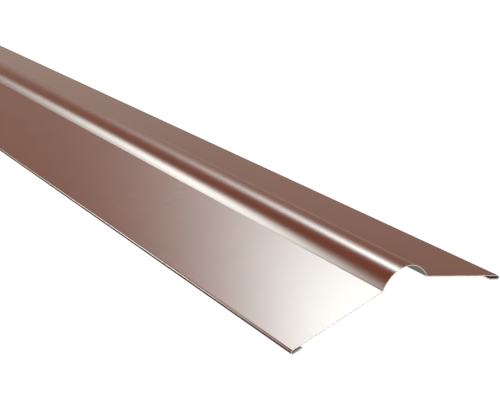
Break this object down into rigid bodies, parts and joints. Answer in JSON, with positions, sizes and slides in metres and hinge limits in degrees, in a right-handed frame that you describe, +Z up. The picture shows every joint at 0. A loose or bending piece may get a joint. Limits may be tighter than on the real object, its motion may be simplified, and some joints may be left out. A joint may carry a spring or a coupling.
{
  "type": "roof ridge cap",
  "caption": "Folded steel roof ridge cap: a half-round bead along the crest, a flat wing sloping down each side and an open hem turned under each outer edge.",
  "frame": {"origin": "on the ground under the middle of the crest: centre of the bounding box's bottom face", "axes": "+Z up, +Y along the ridge, +X across it to the right when looking along +Y"},
  "size_m": [0.2624, 2, 0.0494],
  "materials": {
    "painted_sheet": "brown polyester coil coat, semi-gloss, with a grey-green backing coat inside and a bare cut edge"
  },
  "bodies": {
    "root": {"ridge_cap": "painted_sheet"}
  },
  "joints": []
}
